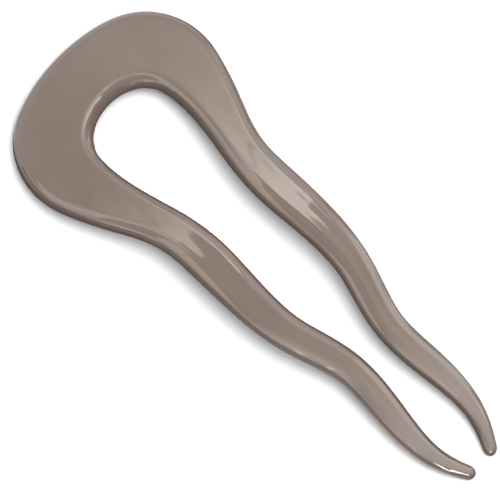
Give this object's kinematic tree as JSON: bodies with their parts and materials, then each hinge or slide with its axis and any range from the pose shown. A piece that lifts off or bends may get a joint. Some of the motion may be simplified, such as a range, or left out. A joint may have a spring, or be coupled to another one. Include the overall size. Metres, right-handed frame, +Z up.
{
  "type": "hairpin",
  "caption": "One-piece pronged hairpin with a broad flat bow and waved prongs that taper to turned-in tips and bend down gently along their length, to hold a twist or bun of hair.",
  "frame": {"origin": "middle of the pin's length and width, on the surface that it rests on", "axes": "+Y along the pin towards the bow, with the tips at -Y; +X across the pin; +Z up, out of the outer face, which the bends make convex"},
  "size_m": [0.0528, 0.1274, 0.0105],
  "materials": {
    "acetate": "opaque taupe cellulose acetate, tumbled and polished to a high gloss"
  },
  "bodies": {
    "root": {"hairpin": "acetate"}
  },
  "joints": []
}
